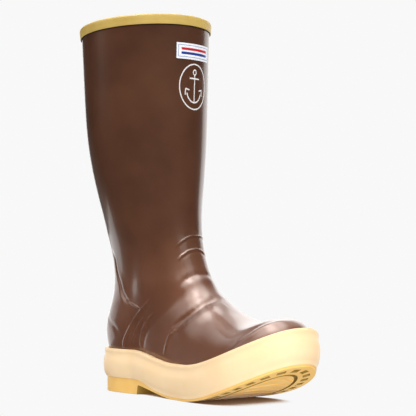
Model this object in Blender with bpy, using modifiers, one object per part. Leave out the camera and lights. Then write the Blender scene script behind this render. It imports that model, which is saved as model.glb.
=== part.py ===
"""Tall rubber deck boot for a left foot, standing empty on its sole.

+X points to the toe and +Z up. -Y is the inner side of the foot, where the big toe is.
Sizes are in metres. Every x of the tables starts at the back of the heel, and an empty
carries the pieces so that the middle of the heel's ground face lies at the origin.
"""
import math

import bmesh
import bpy
import numpy as np

# Driving dimensions
LAST_LENGTH = 0.2946       # the upper at its lower edge, heel to toe
BALL_WIDTH = 0.0965        # the upper across the ball of the foot
INSTEP_HEIGHT = 0.104      # the foot's top over its bed, at the instep
ANKLE_HEIGHT = 0.165       # floor to where the foot has become the shaft
BOOT_HEIGHT = 0.387        # floor to the rim, over the middle of the heel
COLLAR_WIDTH = 0.135       # the shaft across its rim
COLLAR_SLOPE = 0.065       # the rim rises this much a metre towards the toe
UPPER_WALL = 0.0026        # rubber and lining together
TOE_ROUND = 0.0715         # length of the rounded toe, seen from above
HEEL_ROUND = 0.036         # length of the rounded heel, seen from above
TOE_DOME = 0.028           # length over which the toe's top comes down
HEEL_HEIGHT = 0.0155       # the heel block
SOLE_THICKNESS = 0.0055    # the outsole under the ball
HEEL_BED = 0.0105          # the sidewall's floor over the heel
BALL_BED = 0.0085          # the sidewall's floor over the ball
TOE_SPRING = 0.038         # how far the sole's tip lifts off the floor
HEEL_SEAT = 0.078          # length of the heel's ground face
BREAST_LEAN = 0.0022       # the heel's front face leans forward this much
SIDEWALL_HEIGHT = 0.030    # the light rim, from its lower edge to its lip
SIDEWALL_THICKNESS = 0.0048
OUTSOLE_INSET = 0.0010     # the outsole stands back from the sidewall's lower edge
BINDING_DEPTH = 0.0090     # the collar's binding, outside
BINDING_TUCK = 0.0060      # the collar's binding, inside
BINDING_THICKNESS = 0.0012
INSOLE_THICKNESS = 0.0035
LABEL_WIDTH = 0.057
LABEL_HEIGHT = 0.0165
LABEL_THICKNESS = 0.0007
LABEL_DROP = 0.036         # rim to the label's middle, at the front
LABEL_TURN = 0.235         # radians from straight ahead to the outer side
GAP = 0.0003               # between pieces that touch
CURVED_GAP = 0.00045       # between the upper's curved face and what lies round it
EDGE_RISE = 0.0050         # the upper's lowest strip stands upright in the sidewall

# Tread
TREAD_DEPTH = 0.0025
POCKET_LENGTH = 0.0055
POCKET_WIDTH = 0.0032
POCKET_INSET = 0.0085      # outline to the middle of a pocket
POCKET_PITCH = 0.0125
GROOVE_WIDTH = 0.0026
GROOVE_INSET = 0.0165      # outline to the middle of the oval groove
BAR_PITCH = 0.0150         # one chevron groove to the next
BAR_POINT = 0.0070         # how far a chevron's middle lies ahead of its ends
BAR_MARGIN = 0.0240        # outline to a chevron's end
BAR_START = 0.605          # shares of the length between which the chevrons lie
BAR_END = 0.93
GROOVE_STEP = 0.009        # between the oval groove's own points

# Shape settings
INNER = -1                 # the side of the big toe along Y: -1 makes a left boot
SPRING_START = 0.575       # share of the length where the sole leaves the floor
SPRING_POWER = 1.6
FALL_START = 0.24          # share of the length where the heel's height starts to fall
FALL_END = 0.50            # and where the sole meets the floor
TOE_POWER = 2.25
HEEL_POWER = 2.2
DOME_POWER = 2.4
HEEL_TUCK = 0.0058         # at the heel the foot stays this far inside the leg
TUCK_START = 0.10          # shares of the length between which the tuck runs out
TUCK_END = 0.37
FOOT_START = 0.06          # share of the length where the foot begins, inside the leg
BLEND_START = 0.16         # share of the length where the soft joint starts to widen
BLEND_LOW = 0.004          # soft joint of foot and leg at the heel
BLEND_HIGH = 0.032         # what the joint gains towards the instep
BLEND_FOOT = 0.30          # shares of the ankle's height over which the joint gains it
BLEND_TOP = 0.72
AXIS_SHARE = 0.19          # the shaft's axis, as a share of the length
ROW_LEAN = 0.50            # how far the rows rise towards the toe, part way up the foot
ROW_PIVOT = 0.34           # share of the length about which the foot's rows lean
RIM_PIVOT = 0.17           # share of the length where the rim is at the boot's height
COLUMNS = 48
COLUMN_CROWD = 0.3         # how much closer the columns stand at toe and heel
FOOT_ROWS = 24
HEEL_WEIGHT = 1.2          # what the back counts against the front in spreading the rows
SECOND_ROW = 1.8           # the second row's place, in steps, clear of the upright strip
SHAFT_ROWS = 9

# The last from above: share of the length, its middle towards the inner side and its
# half width, both as shares of the ball's width
OUTLINE = [
    # share, middle, half width
    (0.00, 0.000, 0.337),
    (0.15, 0.000, 0.347),
    (0.32, 0.010, 0.342),
    (0.48, 0.000, 0.378),
    (0.62, -0.022, 0.457),
    (0.72, -0.029, 0.500),
    (0.82, -0.012, 0.495),
    (0.92, 0.012, 0.469),
    (1.00, 0.033, 0.448),
]
# The foot's top line: share of the length, height over the bed as a share of the instep's
# height, and the roundness of the cross section, where 2 is an ellipse
TOP_LINE = [
    # share, height, power
    (0.00, 0.692, 2.35),
    (0.25, 0.817, 2.35),
    (0.40, 1.000, 2.35),
    (0.50, 0.949, 2.35),
    (0.60, 0.762, 2.35),
    (0.70, 0.600, 2.40),
    (0.80, 0.480, 2.55),
    (0.90, 0.425, 2.70),
    (1.00, 0.300, 2.70),
]
# The leg, level by level: 0 is the floor, 1 the ankle's height and 2 the rim. Back and
# front are shares of the length, the half width is a share of the collar's width
LEG = [
    # level, back, front, half width, power
    (0.121, 0.010, 0.306, 0.233, 2.30),
    (0.273, 0.003, 0.320, 0.259, 2.30),
    (0.424, 0.003, 0.336, 0.278, 2.30),
    (0.606, 0.025, 0.380, 0.256, 2.20),
    (0.788, 0.031, 0.400, 0.268, 2.10),
    (1.000, 0.013, 0.400, 0.321, 2.05),
    (1.203, -0.021, 0.391, 0.400, 2.00),
    (1.428, -0.051, 0.385, 0.463, 2.00),
    (1.698, -0.073, 0.390, 0.485, 2.00),
    (2.014, -0.092, 0.398, 0.500, 2.00),
]
# The sidewall's outer face: share of its height, outward as a share of its thickness
SIDEWALL_FACE = [
    # height, outward
    (1.00, 0.94),
    (0.93, 1.10),
    (0.86, 1.06),
    (0.60, 1.32),
    (0.30, 1.34),
    (0.10, 1.05),
    (0.00, 0.72),
]
SIDEWALL_INNER_ROWS = 7    # rows of its inner face over the upper's upright strip


def clear_scene():
    """Remove every object of the scene."""
    for item in list(bpy.data.objects):
        bpy.data.objects.remove(item, do_unlink=True)


def spline(table, column, at):
    """Natural cubic curve through one column of a table, over the table's first column."""
    xs = np.array([row[0] for row in table])
    ys = np.array([row[column] for row in table])
    steps = np.diff(xs)
    count = len(xs)
    matrix = np.zeros((count, count))
    right = np.zeros(count)
    matrix[0, 0] = 1.0
    matrix[-1, -1] = 1.0
    for i in range(1, count - 1):
        matrix[i, i - 1:i + 2] = steps[i - 1], 2 * (steps[i - 1] + steps[i]), steps[i]
        right[i] = 6 * ((ys[i + 1] - ys[i]) / steps[i] - (ys[i] - ys[i - 1]) / steps[i - 1])
    bend = np.linalg.solve(matrix, right)
    at = np.clip(np.asarray(at, float), xs[0], xs[-1])
    i = np.clip(np.searchsorted(xs, at) - 1, 0, count - 2)
    ahead = xs[i + 1] - at
    behind = at - xs[i]
    cubic = (bend[i] * ahead**3 + bend[i + 1] * behind**3) / (6 * steps[i])
    return (cubic + (ys[i] / steps[i] - bend[i] * steps[i] / 6) * ahead
            + (ys[i + 1] / steps[i] - bend[i + 1] * steps[i] / 6) * behind)


def ease(share):
    """Smooth step from 0 to 1."""
    share = np.clip(share, 0.0, 1.0)
    return share * share * (3 - 2 * share)


def spring(x):
    """Lift of the sole towards the toe."""
    share = np.clip((x / LAST_LENGTH - SPRING_START) / (1 - SPRING_START), 0, 1.2)
    return TOE_SPRING * share**SPRING_POWER


def fall(x):
    """0 over the heel and 1 over the ball."""
    return ease((x / LAST_LENGTH - FALL_START) / (FALL_END - FALL_START))


def sole_line(x):
    """Height of the sidewall's underside, where it meets the outsole."""
    return HEEL_HEIGHT + (SOLE_THICKNESS - HEEL_HEIGHT) * fall(x) + spring(x)


def bed(x):
    """Height of the sidewall's floor, on which the upper and the insole stand."""
    return sole_line(x) + HEEL_BED + (BALL_BED - HEEL_BED) * fall(x)


def outline(x):
    """The last's middle and half width, seen from above."""
    share = x / LAST_LENGTH
    middle = INNER * BALL_WIDTH * spline(OUTLINE, 1, share)
    half = BALL_WIDTH * spline(OUTLINE, 2, share)
    toe = np.clip((x - LAST_LENGTH + TOE_ROUND) / TOE_ROUND, 0, 1)
    heel = np.clip((HEEL_ROUND - x) / HEEL_ROUND, 0, 1)
    ends = (1 - toe**TOE_POWER)**(1 / TOE_POWER) * (1 - heel**HEEL_POWER)**(1 / HEEL_POWER)
    return middle, half * ends


def foot(x, y, z):
    """Under 0 inside the foot of the last, about a distance outside it."""
    inside = np.clip(x, 0.0, LAST_LENGTH - 1e-5)
    middle, half = outline(inside)
    tuck = HEEL_TUCK * (1 - ease((inside / LAST_LENGTH - TUCK_START) / (TUCK_END - TUCK_START)))
    half = np.maximum(half - tuck, 1e-4)
    floor = bed(inside)
    dome = np.clip((inside - LAST_LENGTH + TOE_DOME) / TOE_DOME, 0, 1)
    high = INSTEP_HEIGHT * spline(TOP_LINE, 1, inside / LAST_LENGTH)
    high = np.maximum(high * (1 - dome**DOME_POWER)**(1 / DOME_POWER), 1e-4)
    power = spline(TOP_LINE, 2, inside / LAST_LENGTH)
    across = np.abs((y - middle) / half)**power
    up = (np.maximum(z - floor, 0) / high)**power
    value = ((across + up)**(1 / power) - 1) * np.minimum(half, high)
    beyond = (x > LAST_LENGTH) | (x < FOOT_START * LAST_LENGTH)
    return np.where(beyond, 0.1 + np.abs(x), value)


def leg_level(z):
    """Height as a level of the leg's table."""
    low = np.minimum(z / ANKLE_HEIGHT, 1.0)
    high = np.maximum(z - ANKLE_HEIGHT, 0.0) / (BOOT_HEIGHT - ANKLE_HEIGHT)
    return low + high


def leg(x, y, z):
    """Under 0 inside the leg of the last, about a distance outside it."""
    level = leg_level(z)
    back = LAST_LENGTH * spline(LEG, 1, level)
    front = LAST_LENGTH * spline(LEG, 2, level)
    half = COLLAR_WIDTH * spline(LEG, 3, level)
    power = spline(LEG, 4, level)
    reach = (front - back) / 2
    along = np.abs((x - back - reach) / reach)**power
    across = np.abs(y / half)**power
    return ((along + across)**(1 / power) - 1) * np.minimum(reach, half)


def last(x, y, z):
    """The whole last: foot and leg with a soft joint between them."""
    a = foot(x, y, z)
    b = leg(x, y, z)
    ahead = ease((x / LAST_LENGTH - BLEND_START) / BLEND_START)
    soft = BLEND_LOW + BLEND_HIGH * ahead * ease((z / ANKLE_HEIGHT - BLEND_FOOT) / (BLEND_TOP - BLEND_FOOT))
    share = np.clip(0.5 + 0.5 * (b - a) / soft, 0, 1)
    return b * (1 - share) + a * share - soft * share * (1 - share)


def row_height(row, x):
    """Height of a row over x: 0 follows the bed, 1 is level, 2 is the sloping rim."""
    low = np.clip(row, 0, 1)
    high = np.maximum(row - 1, 0)
    lean = ROW_LEAN * low * (1 - low) * (x - ROW_PIVOT * LAST_LENGTH)
    rise = high * (BOOT_HEIGHT - ANKLE_HEIGHT + COLLAR_SLOPE * (x - RIM_PIVOT * LAST_LENGTH))
    return (1 - low) * bed(x) + low * ANKLE_HEIGHT + lean + rise


def cast(angles, height):
    """Points of the last along level rays from the leg's axis, at height(x)."""
    start = AXIS_SHARE * LAST_LENGTH
    reach = np.linspace(0.01, 1.03, 70)[:, None] * LAST_LENGTH
    x = start + reach * np.cos(angles)
    y = reach * np.sin(angles)
    inside = last(x, y, height(x)) < 0
    first_out = np.argmin(inside, axis=0)
    near = reach[np.maximum(first_out - 1, 0), 0]
    far = reach[first_out, 0]
    for _ in range(20):
        middle = (near + far) / 2
        x = start + middle * np.cos(angles)
        y = middle * np.sin(angles)
        inside = last(x, y, height(x)) < 0
        near = np.where(inside, middle, near)
        far = np.where(inside, far, middle)
    return np.stack([x, y, height(x)], axis=1)


def ring(row, columns=COLUMNS):
    """One row of the upper: column 0 is the front, half way round is the back."""
    fine = cast(np.linspace(0, 2 * math.pi, 360, endpoint=False), lambda x: row_height(row, x))
    half = len(fine) // 2
    share = np.linspace(0, 1, columns // 2 + 1)
    share = share - COLUMN_CROWD * np.sin(2 * math.pi * share) / (2 * math.pi)
    sides = []
    for side in (fine[:half + 1], np.vstack([fine[half:], fine[:1]])[::-1]):
        length = np.r_[0, np.cumsum(np.linalg.norm(np.diff(side, axis=0), axis=1))]
        length = length / length[-1]
        sides.append(np.stack([np.interp(share, length, side[:, k]) for k in range(3)], axis=1))
    return np.vstack([sides[0], sides[1][1:-1][::-1]])


def foot_rows():
    """Rows from the bed to the ankle, spread by the way they go over front and back."""
    fine = np.linspace(0, 1, 90)
    ends = np.array([0.0, math.pi])
    marks = np.array([cast(ends, lambda x, row=row: row_height(row, x)) for row in fine])
    steps = np.linalg.norm(np.diff(marks, axis=0), axis=2)
    way = np.r_[0, np.cumsum(steps[:, 0] + HEEL_WEIGHT * steps[:, 1])]
    step = way[-1] / FOOT_ROWS
    return np.interp(np.r_[0, np.linspace(SECOND_ROW * step, way[-1], FOOT_ROWS - 1)], way, fine)


def upper_rings():
    """Rows of the upper's outer face, from its upright lower strip to the rim."""
    rows = list(foot_rows())
    rows += list(np.linspace(1, 2, SHAFT_ROWS + 1)[1:])
    rings = [ring(row) for row in rows]
    strip = rings[0].copy()
    strip[:, 2] += EDGE_RISE
    rings[0][:, 2] += GAP
    return np.array([rings[0], strip] + rings[1:])


def outward(points):
    """Level unit vectors that point away from a ring of points."""
    along = np.roll(points, -1, axis=0) - np.roll(points, 1, axis=0)
    away = np.stack([along[:, 1], -along[:, 0], np.zeros(len(points))], axis=1)
    return away / np.linalg.norm(away, axis=1)[:, None]


def at_height(rings, heights):
    """Point where each column of the upper first comes to that column's height."""
    points = []
    for column, height in enumerate(heights):
        path = rings[:, column]
        climb = np.maximum.accumulate(path[:, 2])
        x, y = (np.interp(height, climb, path[:, k]) for k in range(2))
        points.append([x, y, height])
    return np.array(points)


def ladder(bm, verts):
    """Close a ring of vertices with rungs from side to side."""
    count = len(verts)
    half = count // 2
    bm.faces.new([verts[0], verts[1], verts[-1]])
    for k in range(1, half - 1):
        bm.faces.new([verts[k], verts[k + 1], verts[count - k - 1], verts[count - k]])
    bm.faces.new([verts[half - 1], verts[half], verts[half + 1]])


def loft(rings, closed=False, caps=False):
    """Mesh through rings of points: closed joins the last ring to the first, caps ends it."""
    bm = bmesh.new()
    rows = [[bm.verts.new(point) for point in points] for points in rings]
    pairs = list(zip(rows[:-1], rows[1:]))
    if closed:
        pairs.append((rows[-1], rows[0]))
    for low, high in pairs:
        for k in range(len(low)):
            after = (k + 1) % len(low)
            bm.faces.new([low[k], low[after], high[after], high[k]])
    if caps:
        ladder(bm, rows[0])
        ladder(bm, rows[-1])
    if closed or caps:
        bmesh.ops.recalc_face_normals(bm, faces=bm.faces)
    return bm


def slab(points, shift):
    """Prism of a flat outline, moved along shift."""
    bm = bmesh.new()
    low = [bm.verts.new(point) for point in points]
    high = [bm.verts.new(np.asarray(point) + shift) for point in points]
    bm.faces.new(low)
    bm.faces.new(high[::-1])
    for k in range(len(low)):
        after = (k + 1) % len(low)
        bm.faces.new([low[k], high[k], high[after], low[after]])
    bmesh.ops.recalc_face_normals(bm, faces=bm.faces)
    return bm


def material(name, colour, roughness):
    """Plain surface for one piece."""
    mat = bpy.data.materials.new(name)
    mat.use_nodes = True
    shader = mat.node_tree.nodes["Principled BSDF"]
    shader.inputs["Base Color"].default_value = (*colour, 1.0)
    shader.inputs["Roughness"].default_value = roughness
    shader.inputs["Metallic"].default_value = 0.0
    return mat


def place(name, bm, group, parent, mat=None):
    """Object of a finished mesh, in a collection and under the boot's empty."""
    mesh = bpy.data.meshes.new(name)
    bm.to_mesh(mesh)
    bm.free()
    mesh.shade_smooth()
    mesh.set_sharp_from_angle(angle=math.radians(35))
    item = bpy.data.objects.new(name, mesh)
    item.parent = parent
    group.objects.link(item)
    if mat:
        mesh.materials.append(mat)
    return item


def hide(item):
    """Mark an object as a cutter."""
    item.hide_render = True
    item.display_type = "WIRE"


def solidify(item, thickness, offset):
    """Give an open surface its wall."""
    wall = item.modifiers.new("wall", "SOLIDIFY")
    wall.thickness = thickness
    wall.offset = offset
    wall.use_even_offset = True


def boolean(item, other, operation):
    """Cut or keep what two solids share."""
    cut = item.modifiers.new(operation.lower(), "BOOLEAN")
    cut.operation = operation
    cut.object = other
    cut.solver = "EXACT"
    cut.use_self = True


def make_upper(rings, group, parent):
    """One hollow rubber body, open at the rim and underneath."""
    brown = material("brown rubber", (0.105, 0.042, 0.022), 0.28)
    item = place("upper", loft(rings), group, parent, brown)
    solidify(item, UPPER_WALL, -1.0)


def make_binding(rings, group, parent):
    """Moulded band folded over the rim."""
    rim = rings[-1][:, 2]
    inside = -UPPER_WALL - GAP
    skin = GAP + BINDING_THICKNESS
    section = [
        # outward from the upper's outer face, height over the rim
        (GAP, -BINDING_DEPTH),
        (skin, -BINDING_DEPTH),
        (skin, 0.0),
        (0.6 * skin, skin),
        (inside - 0.3 * skin, skin),
        (inside - BINDING_THICKNESS, 0.0),
        (inside - BINDING_THICKNESS, -BINDING_TUCK),
        (inside, -BINDING_TUCK),
        (inside, 1.5 * GAP),
        (GAP, 1.5 * GAP),
    ]
    rows = []
    for away, height in section:
        points = at_height(rings, rim + min(height, 0.0))
        points = points + outward(points) * away
        points[:, 2] = rim + height
        rows.append(points)
    yellow = material("yellow binding", (0.60, 0.47, 0.12), 0.45)
    place("collar_binding", loft(rows, closed=True), group, parent, yellow)


def sidewall_outer(feather, height, thickness_share):
    """Ring of the sidewall's outer face."""
    points = feather + outward(feather) * SIDEWALL_THICKNESS * thickness_share
    points[:, 2] = sole_line(points[:, 0]) + SIDEWALL_HEIGHT * height
    return points


def make_sidewall(rings, group, parent):
    """Light rubber cup: a floor between upper and outsole, and the rim round the upper."""
    feather = rings[0]
    away = outward(feather)
    low = bed(feather[:, 0] + CURVED_GAP * away[:, 0])
    top = sole_line(feather[:, 0]) + SIDEWALL_HEIGHT
    strip = feather[:, 2] + EDGE_RISE - GAP
    shares = np.linspace(0, 1, SIDEWALL_INNER_ROWS)
    heights = [low] + [strip + (top - strip) * share for share in shares]
    rows = []
    for height in heights:
        points = at_height(rings, np.maximum(height, feather[:, 2])) + away * CURVED_GAP
        points[:, 2] = height
        rows.append(points)
    rows += [sidewall_outer(feather, height, out) for height, out in SIDEWALL_FACE]
    cream = material("cream rubber", (0.90, 0.66, 0.36), 0.42)
    place("sidewall", loft(rows, caps=True), group, parent, cream)


def tread_height(x):
    """Height of the outsole's ground face in front of the heel."""
    return np.maximum(sole_line(x) - SOLE_THICKNESS, 0.0)


def side_profile():
    """Outsole and heel from the side, as a slab through the whole width."""
    width = 2 * BALL_WIDTH
    ends = (-2 * SIDEWALL_THICKNESS, LAST_LENGTH + 2 * SIDEWALL_THICKNESS)
    arch = np.linspace(HEEL_SEAT + BREAST_LEAN, FALL_END * LAST_LENGTH, 8)
    toe = np.linspace(SPRING_START * LAST_LENGTH, ends[1], 15)
    ground = [(ends[0], 0.0), (HEEL_SEAT, 0.0)]
    ground += [(x, tread_height(x)) for x in np.r_[arch, toe]]
    along = np.r_[ends[0], FALL_START * LAST_LENGTH, arch[1:], toe]
    roof = [(x, sole_line(x) - GAP) for x in along[::-1]]
    points = [(x, -width / 2, z) for x, z in ground + roof]
    return slab(points, np.array([0.0, width, 0.0]))


def tread_band(points, width):
    """Cutter along a line in plan, from under the ground face to the tread's depth."""
    points = np.asarray(points, float)
    along = np.gradient(points, axis=0)
    across = np.stack([-along[:, 1], along[:, 0]], axis=1)
    across = across / np.linalg.norm(across, axis=1)[:, None] * width / 2
    left = points + across
    right = points - across
    sections = []
    for a, b in zip(left, right):
        za, zb = float(tread_height(a[0])), float(tread_height(b[0]))
        roof = [(*a, za + TREAD_DEPTH), (*b, zb + TREAD_DEPTH)]
        sections.append([(*a, za - TREAD_DEPTH), *roof, (*b, zb - TREAD_DEPTH)])
    return sections


def add_band(bm, sections):
    """Put one cutter band into a mesh."""
    rows = [[bm.verts.new(point) for point in section] for section in sections]
    for near, far in zip(rows[:-1], rows[1:]):
        for k in range(4):
            after = (k + 1) % 4
            bm.faces.new([near[k], near[after], far[after], far[k]])
    bm.faces.new(rows[0])
    bm.faces.new(rows[-1][::-1])


def inset_line(edge, inset, start):
    """Stretch of the outsole's outline round the toe, moved inward."""
    fine = np.array([edge[k % len(edge)] for k in range(-len(edge) // 2, len(edge) // 2)])
    fine = fine - outward(fine) * inset
    kept = fine[fine[:, 0] > start]
    return kept[:, :2]


def evenly(points, pitch):
    """Points and directions at one pitch along a line."""
    length = np.r_[0, np.cumsum(np.linalg.norm(np.diff(points, axis=0), axis=1))]
    count = max(2, int(length[-1] / pitch) + 1)
    marks = np.linspace(0, length[-1], count)
    spots = np.stack([np.interp(marks, length, points[:, k]) for k in range(2)], axis=1)
    return spots, np.gradient(spots, axis=0)


def chevron(x):
    """Line of one chevron groove across the sole, its point towards the toe."""
    middle, half = outline(np.array([x - BAR_POINT]))
    reach = half[0] - BAR_MARGIN + SIDEWALL_THICKNESS
    shares = np.array([-1.0, -0.5, 0.0, 0.5, 1.0])
    return np.stack([x - BAR_POINT * np.abs(shares), middle[0] + reach * shares], axis=1)


def make_tread_cutter(edge, group, parent):
    """Pockets round the toe, the oval groove and the chevron grooves."""
    bm = bmesh.new()
    rim = inset_line(edge, POCKET_INSET, SPRING_START * LAST_LENGTH)
    for spot, along in zip(*evenly(rim, POCKET_PITCH)):
        step = along / np.linalg.norm(along) * POCKET_LENGTH / 2
        add_band(bm, tread_band([spot - step, spot, spot + step], POCKET_WIDTH))
    oval = inset_line(edge, GROOVE_INSET, BAR_START * LAST_LENGTH)
    add_band(bm, tread_band(evenly(oval, GROOVE_STEP)[0], GROOVE_WIDTH))
    for x in np.arange(BAR_START * LAST_LENGTH, BAR_END * LAST_LENGTH, BAR_PITCH):
        add_band(bm, tread_band(chevron(x), GROOVE_WIDTH))
    bmesh.ops.recalc_face_normals(bm, faces=bm.faces)
    cutter = place("tread_cutter", bm, group, parent)
    hide(cutter)
    return cutter


def make_outsole(rings, group, cutters, parent):
    """Tan outsole moulded in one with its heel block."""
    share = SIDEWALL_FACE[-1][1] - OUTSOLE_INSET / SIDEWALL_THICKNESS
    edge = sidewall_outer(rings[0], 0.0, share)
    floor = edge.copy()
    floor[:, 2] = -HEEL_HEIGHT
    tall = np.array([0.0, 0.0, 3 * HEEL_HEIGHT + 2 * TOE_SPRING])
    tan = material("tan rubber", (0.72, 0.50, 0.22), 0.5)
    item = place("outsole", slab(floor, tall), group, parent, tan)
    profile = place("side_profile", side_profile(), cutters, parent)
    hide(profile)
    boolean(item, profile, "INTERSECT")
    boolean(item, make_tread_cutter(edge, cutters, parent), "DIFFERENCE")


def make_insole(rings, group, parent):
    """Loose footbed on the sidewall's floor."""
    feather = rings[0]
    points = feather - outward(feather) * (UPPER_WALL + 2 * GAP)
    low = points.copy()
    low[:, 2] = bed(points[:, 0]) + GAP
    high = points.copy()
    high[:, 2] = low[:, 2] + INSOLE_THICKNESS
    grey = material("grey felt", (0.35, 0.33, 0.30), 0.9)
    place("insole", loft([low, high], caps=True), group, parent, grey)


def make_label(group, parent):
    """Bare curved patch below the rim, turned a little to the outer side."""
    rim = row_height(2.0, LEG[-1][2] * LAST_LENGTH)
    middle = rim - LABEL_DROP
    radius = COLLAR_WIDTH / 2
    turn = -INNER * LABEL_TURN
    angles = np.linspace(-0.5, 0.5, 11) * LABEL_WIDTH / radius + turn
    bm = bmesh.new()
    rows = []
    for share in (-0.5, 0.0, 0.5):
        height = middle + LABEL_HEIGHT * share
        points = cast(angles, lambda x, height=height: height + 0 * x)
        away = np.stack([np.cos(angles), np.sin(angles), np.zeros(len(angles))], axis=1)
        rows.append([bm.verts.new(point) for point in points + away * GAP])
    for low, high in zip(rows[:-1], rows[1:]):
        for k in range(len(low) - 1):
            bm.faces.new([low[k], low[k + 1], high[k + 1], high[k]])
    item = place("label", bm, group, parent, material("white label", (0.85, 0.85, 0.87), 0.35))
    solidify(item, LABEL_THICKNESS, 1.0)


def main():
    """Build the boot."""
    clear_scene()
    scene = bpy.context.scene
    boot = bpy.data.collections.new("deck boot")
    cutters = bpy.data.collections.new("cutters")
    scene.collection.children.link(boot)
    scene.collection.children.link(cutters)
    seat = bpy.data.objects.new("boot", None)
    boot.objects.link(seat)
    seat.location = (-HEEL_SEAT / 2, 0.0, 0.0)
    rings = upper_rings()
    make_upper(rings, boot, seat)
    make_binding(rings, boot, seat)
    make_sidewall(rings, boot, seat)
    make_outsole(rings, boot, cutters, seat)
    make_insole(rings, boot, seat)
    make_label(boot, seat)
    bpy.context.view_layer.update()


main()
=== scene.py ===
"""Looks of the rubber deck boot, in metres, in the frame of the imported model.

+X points to the toe and +Z up, and -Y is the inner side of the foot. Every x of the shape
tables starts at the back of the heel, HEEL_BACK behind the frame's origin.
"""
import math

import bmesh
import bpy
import numpy as np
from mathutils import Matrix, Vector


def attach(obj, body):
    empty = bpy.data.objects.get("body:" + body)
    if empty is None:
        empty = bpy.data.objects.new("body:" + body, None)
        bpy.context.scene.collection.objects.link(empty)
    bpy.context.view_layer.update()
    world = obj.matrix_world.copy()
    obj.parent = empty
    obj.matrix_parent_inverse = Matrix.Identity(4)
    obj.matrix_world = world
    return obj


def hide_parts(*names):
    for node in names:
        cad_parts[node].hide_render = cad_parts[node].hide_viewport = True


# The boot's own sizes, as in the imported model
LAST_LENGTH = 0.2946
BALL_WIDTH = 0.0965
INSTEP_HEIGHT = 0.104
ANKLE_HEIGHT = 0.165
BOOT_HEIGHT = 0.387
COLLAR_WIDTH = 0.135
COLLAR_SLOPE = 0.065
UPPER_WALL = 0.0026
TOE_ROUND = 0.0715
HEEL_ROUND = 0.036
TOE_DOME = 0.028
HEEL_HEIGHT = 0.0155
SOLE_THICKNESS = 0.0055
HEEL_BED = 0.0105
BALL_BED = 0.0085
TOE_SPRING = 0.038
HEEL_SEAT = 0.078
BREAST_LEAN = 0.0022
SIDEWALL_HEIGHT = 0.030
SIDEWALL_THICKNESS = 0.0048
OUTSOLE_INSET = 0.0010
BINDING_DEPTH = 0.0090
BINDING_TUCK = 0.0060
BINDING_THICKNESS = 0.0012
INSOLE_THICKNESS = 0.0035
LABEL_WIDTH = 0.057
LABEL_HEIGHT = 0.0165
LABEL_THICKNESS = 0.0007
LABEL_TURN = 0.235  # radians from straight ahead to the outer side
GAP = 0.0003
CURVED_GAP = 0.00045
TREAD_DEPTH = 0.0025
GROOVE_WIDTH = 0.0026
BAR_PITCH = 0.0150  # one chevron groove to the next
BAR_POINT = 0.0070  # how far a chevron's middle lies ahead of its ends
BAR_START = 0.605  # shares of the length between which the chevrons lie
BAR_END = 0.93
EDGE_RISE = 0.0050
HEEL_BACK = HEEL_SEAT / 2  # the tables' zero lies this far behind the frame's origin

# Sizes of the finer surface
# Radius of the thin dark tube of painted gap shade under the binding
GAP_SHADE_RADIUS = 0.00045
SKIRT_DROP = 0.0032  # how far the sidewall's thin edge hangs over the outsole's side
SKIRT_START = 0.080  # the table's x where it starts, and the length in which it grows
SKIRT_RUN = 0.035
HEEL_TREAD_DEPTH = 0.0012
POCKET_LENGTH = 0.0088
POCKET_WIDTH = 0.0070
POCKET_INSET = 0.0092  # outline to the middle of a pocket
POCKET_PITCH = 0.0150
OVAL_WIDTH = 0.0034
FINE_GROOVE_WIDTH = 0.0015
GROOVE_INSET = 0.0190  # outline to the middle of the oval groove
GROOVE_STEP = 0.006  # between the oval groove's own points
BAR_MARGIN = 0.0265  # outline to a chevron's end
HEEL_BAR_MARGIN = 0.012
HEEL_BARS = (0.016, 0.072, 0.008)  # first and last place and pitch of the heel's grooves
LABEL_LEVEL = 0.3555  # height of the label's middle
TUCK_IN = 0.0014  # how far the rubber draws in at the heel, at the sidewall's lip
TUCK_HEIGHT = 0.008  # height over the lip in which it does so
TUCK_LAST = (0.10, 0.17)  # stretch of x over which it runs out
LIP_FADE = (0.003, 0.002)  # over and under the lip: where ridges and troughs end at it
LABEL_INSET = 0.0022  # label's edge to its border
BORDER_WIDTH = 0.0006
STRIPE_WIDTH = 0.0026
STRIPE_SHIFT = 0.0022  # label's middle to the middle of a stripe
STRIPE_END = 0.004  # border to a stripe's end
EMBLEM_LEVEL = 0.3193  # height of the printed ring's middle
EMBLEM_RADIUS = 0.0235
EMBLEM_LINE = 0.0014
EMBLEM_LIFT = (0.00002, 0.00016)
PRINT_ROUND = 0.00006  # how much lower a line's edges lie than its face
PRINT_SINK = 0.0001  # how deep the label's prints reach into its face
# The anchor in the ring, from the ring's middle
EYE = (0.0150, 0.0026)  # height, radius
SHANK_END = 0.0165
STOCK = (0.0085, 0.0085)  # height, half length
ARMS = (0.0035, 0.0130, 195, 345)  # middle below the ring's, radius, degrees of the ends
TIP = (0.0146, 0.0010)  # from the middle of the arms
BARBS = ((-0.0058, -0.0012), (0.0006, -0.0066))

# Shape settings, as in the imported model
INNER = -1
SPRING_START = 0.575
SPRING_POWER = 1.6
SPRING_LIMIT = 1.2
FALL_START = 0.24
FALL_END = 0.50
TOE_POWER = 2.25
HEEL_POWER = 2.2
DOME_POWER = 2.4
HEEL_TUCK = 0.0058
TUCK_START = 0.10
TUCK_END = 0.37
FOOT_START = 0.06
BLEND_START = 0.16
BLEND_LOW = 0.004
BLEND_HIGH = 0.032
BLEND_BASE = 0.30
BLEND_RISE = 0.42
AXIS_SHARE = 0.19
ROW_LEAN = 0.50
ROW_PIVOT = 0.34
RIM_PIVOT = 0.17

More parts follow.
